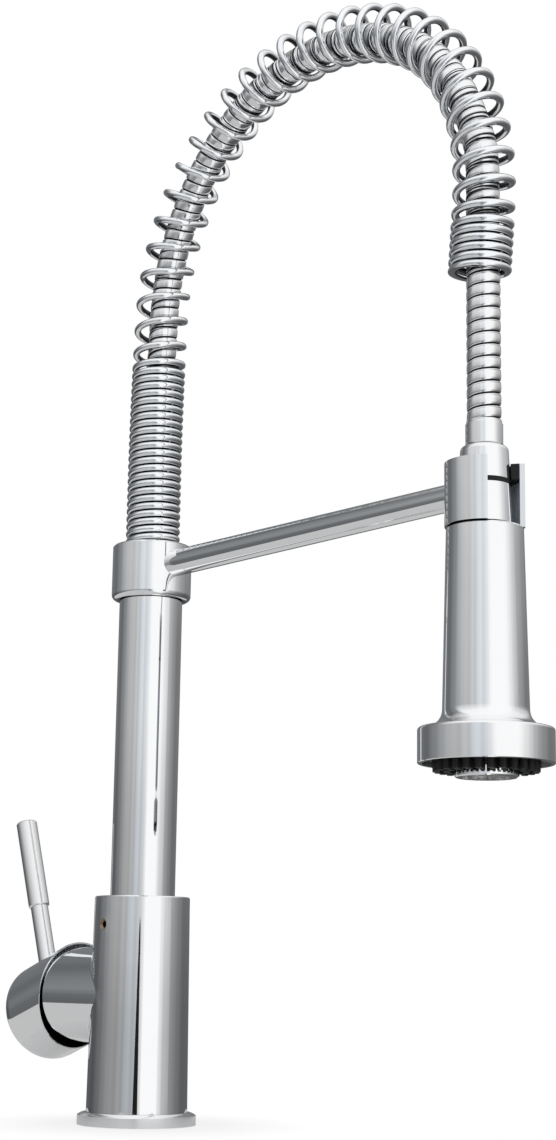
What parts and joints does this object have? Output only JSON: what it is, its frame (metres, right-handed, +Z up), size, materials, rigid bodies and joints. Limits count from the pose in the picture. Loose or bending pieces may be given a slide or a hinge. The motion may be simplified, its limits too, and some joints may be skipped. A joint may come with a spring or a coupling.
{
  "type": "spring kitchen faucet",
  "caption": "Single-lever kitchen faucet with a swivelling column, a coil-spring arch round a ribbed hose, and a pull-down spray head held by a docking arm.",
  "frame": {"origin": "centre of the base flange on the deck", "axes": "+Z up along the column, +X along the docking arm towards the spray head, the handle's barrel towards -X"},
  "size_m": [0.3511, 0.054, 0.4989],
  "materials": {
    "polished_chrome": "polished chrome plate",
    "satin_chrome": "satin chrome plate",
    "spring_steel": "polished spring wire",
    "hose_steel": "satin stainless strip",
    "black_rubber": "matt black",
    "seal_rubber": "matt",
    "black_plastic": "satin black",
    "white_plastic": "moulded",
    "ceramic": "lapped alumina ceramic",
    "brass": "turned",
    "screw_steel": "stainless"
  },
  "bodies": {
    "base": {"base_flange": "polished_chrome", "base_gasket": "seal_rubber", "valve_body": "polished_chrome", "column_set_screw": "brass", "column_bush": "white_plastic", "cartridge_base": "white_plastic", "cartridge_seals": "seal_rubber", "cartridge_housing": "white_plastic", "cartridge_nut": "polished_chrome", "ceramic_fixed_disc": "ceramic"},
    "mixer": {"cartridge_carrier": "white_plastic", "tilt_pin": "screw_steel"},
    "disc": {"ceramic_moving_disc": "ceramic", "disc_driver": "white_plastic"},
    "handle": {"cartridge_stem": "brass", "handle_hub": "polished_chrome", "hub_set_screw": "screw_steel", "lever_rod": "satin_chrome", "lever_grip": "satin_chrome"},
    "column": {"column_foot": "brass", "column_seals": "seal_rubber", "column_tube": "polished_chrome", "column_plug": "brass", "hose_lower_nut": "brass", "arm_collar": "polished_chrome", "collar_screw": "screw_steel", "arm_rod": "polished_chrome", "dock_clip": "polished_chrome", "dock_liner": "black_rubber", "spring": "spring_steel", "hose_arch": "hose_steel", "hose_drop": "hose_steel"},
    "hose_end": {"hose_ferrule": "polished_chrome", "hose_barb": "brass"},
    "spray_head": {"head_neck": "polished_chrome", "neck_ring": "black_rubber", "head_washer": "seal_rubber", "check_valve": "white_plastic", "head_body": "polished_chrome", "head_waterway": "white_plastic"},
    "spray_face": {"spray_ring": "satin_chrome", "face_plate": "white_plastic", "spray_nozzles": "black_rubber", "aerator_housing": "polished_chrome", "aerator_insert": "black_plastic", "diverter_disc": "white_plastic"}
  },
  "joints": [
    {"name": "handle_turn", "type": "hinge", "parent": "base", "child": "mixer", "pos_m": [0, 0, 0.057], "axis": [1, 0, 0], "range_deg": [-45, 45]},
    {"name": "handle_tilt", "type": "hinge", "parent": "mixer", "child": "handle", "pos_m": [-0.0483, 0, 0.057], "axis": [0, -1, 0], "range_deg": [-19, 2]},
    {"name": "disc_slide", "type": "slide", "parent": "mixer", "child": "disc", "axis": [0, 0, 1], "range_m": [-0.0033, 0.00035]},
    {"name": "column_swivel", "type": "hinge", "parent": "base", "child": "column", "pos_m": [0, 0, 0], "axis": [0, 0, 1], "continuous": true},
    {"name": "head_pull", "type": "slide", "parent": "column", "child": "hose_end", "axis": [0, 0, -1], "range_m": [0, 0.036], "stiffness_N_per_m": 150, "springref_m": -0.05, "deforming": ["hose_drop"]},
    {"name": "head_turn", "type": "hinge", "parent": "hose_end", "child": "spray_head", "pos_m": [0.2195, 0, 0.27], "axis": [0, 0, 1], "continuous": true},
    {"name": "spray_select", "type": "hinge", "parent": "spray_head", "child": "spray_face", "pos_m": [0.2195, 0, 0.155], "axis": [0, 0, 1], "range_deg": [0, 60]}
  ],
  "couplings": [
    {"joint": "disc_slide", "follows": "handle_tilt", "m_per_rad": 0.00994}
  ]
}
